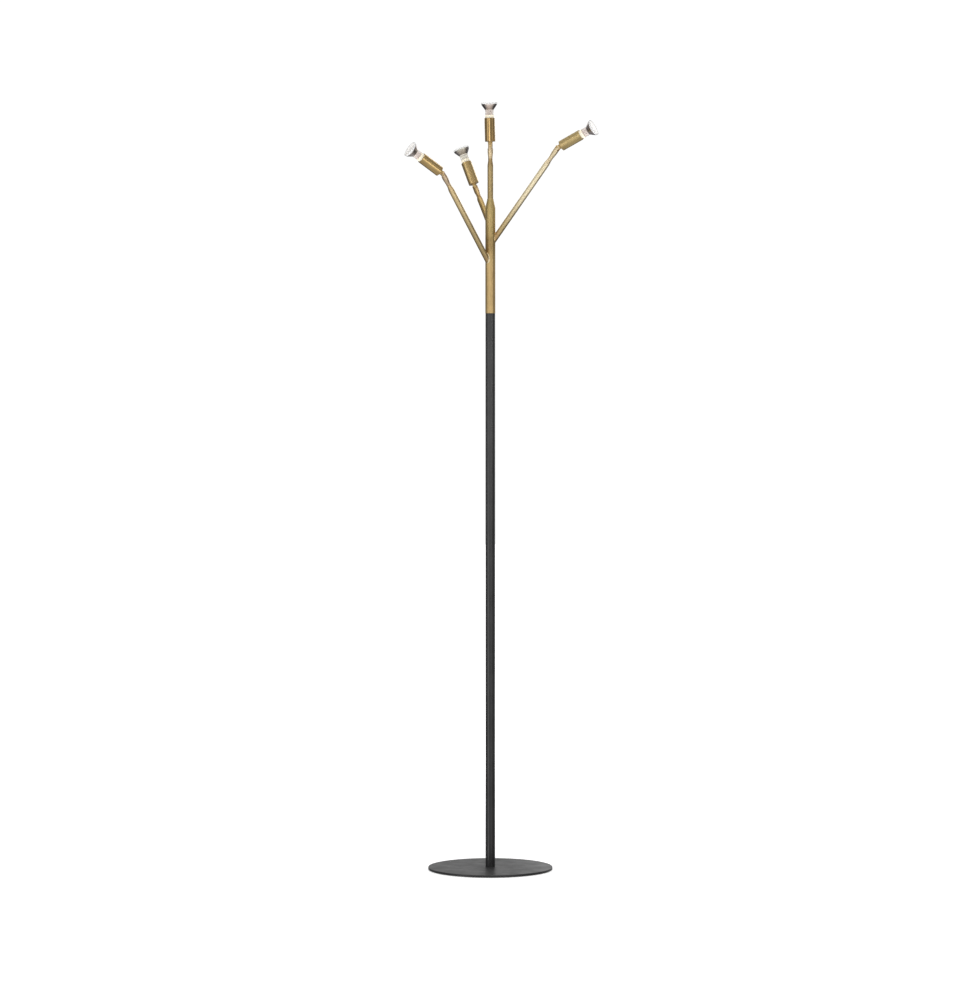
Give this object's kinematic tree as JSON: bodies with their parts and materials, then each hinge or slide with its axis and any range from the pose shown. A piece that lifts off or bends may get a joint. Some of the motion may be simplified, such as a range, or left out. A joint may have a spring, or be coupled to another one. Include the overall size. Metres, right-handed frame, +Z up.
{
  "type": "tree floor lamp",
  "caption": "Slender floor lamp: round base, dark pole and a brass trunk that branches into leaning tube arms, each with a tilting and swivelling reflector bulb holder.",
  "frame": {"origin": "centre of the underside of the base, on the floor", "axes": "+Z up along the pole; -Y towards the front, the side that the picture shows; +X to the right seen from the front"},
  "size_m": [0.406, 0.2651, 1.6237],
  "materials": {
    "felt": "pressed felt",
    "base_paint": "dark grey satin powder coat",
    "pole_paint": "black satin powder coat",
    "steel": "zinc plated",
    "gland_rubber": "moulded",
    "brass": "raw, finely brushed, lightly aged",
    "holder_brass": "raw, turned, satin",
    "block_plastic": "moulded",
    "lead_jacket": "extruded jacket",
    "contact_steel": "nickel plated",
    "socket_ceramic": "unglazed",
    "cap_ceramic": "smooth, cream",
    "reflector_glass": "pressed, dark mirror coating inside",
    "lens_glass": "clear",
    "capsule_glass": "clear"
  },
  "bodies": {
    "stand": {"base_pad": "felt", "base_plate": "base_paint", "base_bolt": "steel", "pole_foot_plug": "steel", "pole_tube": "pole_paint", "cord_gland": "gland_rubber", "pole_coupling": "steel", "coupling_screws": "steel", "trunk_tube": "brass", "trunk_reducer": "brass", "terminal_block": "block_plastic", "left_arm": "brass", "right_arm": "brass", "rear_arm": "brass", "top_arm": "brass", "swivel_studs": "steel", "swivel_washers": "steel", "branch_leads": "lead_jacket"},
    "left_swivel": {"left_fork": "brass", "left_pivot_screws": "brass"},
    "left_head": {"left_tilt_stem": "brass", "left_lamp_holder": "holder_brass", "left_socket": "socket_ceramic", "left_socket_leads": "contact_steel"},
    "left_bulb": {"left_lamp_cap": "cap_ceramic", "left_lamp_reflector": "reflector_glass", "left_lamp_lens": "lens_glass", "left_lamp_capsule": "capsule_glass"},
    "right_swivel": {"right_fork": "brass", "right_pivot_screws": "brass"},
    "right_head": {"right_tilt_stem": "brass", "right_lamp_holder": "holder_brass", "right_socket": "socket_ceramic", "right_socket_leads": "contact_steel"},
    "right_bulb": {"right_lamp_cap": "cap_ceramic", "right_lamp_reflector": "reflector_glass", "right_lamp_lens": "lens_glass", "right_lamp_capsule": "capsule_glass"},
    "rear_swivel": {"rear_fork": "brass", "rear_pivot_screws": "brass"},
    "rear_head": {"rear_tilt_stem": "brass", "rear_lamp_holder": "holder_brass", "rear_socket": "socket_ceramic", "rear_socket_leads": "contact_steel"},
    "rear_bulb": {"rear_lamp_cap": "cap_ceramic", "rear_lamp_reflector": "reflector_glass", "rear_lamp_lens": "lens_glass", "rear_lamp_capsule": "capsule_glass"},
    "top_swivel": {"top_fork": "brass", "top_pivot_screws": "brass"},
    "top_head": {"top_tilt_stem": "brass", "top_lamp_holder": "holder_brass", "top_socket": "socket_ceramic", "top_socket_leads": "contact_steel"},
    "top_bulb": {"top_lamp_cap": "cap_ceramic", "top_lamp_reflector": "reflector_glass", "top_lamp_lens": "lens_glass", "top_lamp_capsule": "capsule_glass"}
  },
  "joints": [
    {"name": "left_swivel", "type": "hinge", "parent": "stand", "child": "left_swivel", "pos_m": [-0.09887, -0.08686, 1.47026], "axis": [-0.4288, -0.3767, 0.8211], "range_deg": [-165, 165]},
    {"name": "left_tilt", "type": "hinge", "parent": "left_swivel", "child": "left_head", "pos_m": [-0.09887, -0.08686, 1.47026], "axis": [0.144, -0.9258, -0.3495], "range_deg": [-114.4, 65.6]},
    {"name": "left_bulb_twist", "type": "hinge", "parent": "left_head", "child": "left_bulb", "pos_m": [-0.09887, -0.08686, 1.47026], "axis": [-0.7588, -0.33, 0.5615], "range_deg": [0, 30]},
    {"name": "right_swivel", "type": "hinge", "parent": "stand", "child": "right_swivel", "pos_m": [0.14191, -0.01117, 1.52775], "axis": [0.5704, -0.0449, 0.8202], "range_deg": [-165, 165]},
    {"name": "right_tilt", "type": "hinge", "parent": "right_swivel", "child": "right_head", "pos_m": [0.14191, -0.01117, 1.52775], "axis": [0.4675, 0.8388, -0.2792], "range_deg": [-120, 60]},
    {"name": "right_bulb_twist", "type": "hinge", "parent": "right_head", "child": "right_bulb", "pos_m": [0.14191, -0.01117, 1.52775], "axis": [0.8315, -0.31, 0.4609], "range_deg": [0, 30]},
    {"name": "rear_swivel", "type": "hinge", "parent": "stand", "child": "rear_swivel", "pos_m": [-0.03189, 0.09475, 1.44788], "axis": [-0.2443, 0.726, 0.6428], "range_deg": [-165, 165]},
    {"name": "rear_tilt", "type": "hinge", "parent": "rear_swivel", "child": "rear_head", "pos_m": [-0.03189, 0.09475, 1.44788], "axis": [0.94, 0.0146, 0.3408], "range_deg": [-125, 55]},
    {"name": "rear_bulb_twist", "type": "hinge", "parent": "rear_head", "child": "rear_bulb", "pos_m": [-0.03189, 0.09475, 1.44788], "axis": [-0.3367, 0.2, 0.9201], "range_deg": [0, 30]},
    {"name": "top_swivel", "type": "hinge", "parent": "stand", "child": "top_swivel", "pos_m": [0, 0, 1.5325], "axis": [0, 0, 1], "range_deg": [-165, 165]},
    {"name": "top_tilt", "type": "hinge", "parent": "top_swivel", "child": "top_head", "pos_m": [0, 0, 1.5325], "axis": [0, -1, 0], "range_deg": [-91.6, 88.4]},
    {"name": "top_bulb_twist", "type": "hinge", "parent": "top_head", "child": "top_bulb", "pos_m": [0, 0, 1.5325], "axis": [-0.0279, 0, 0.9996], "range_deg": [0, 30]}
  ]
}
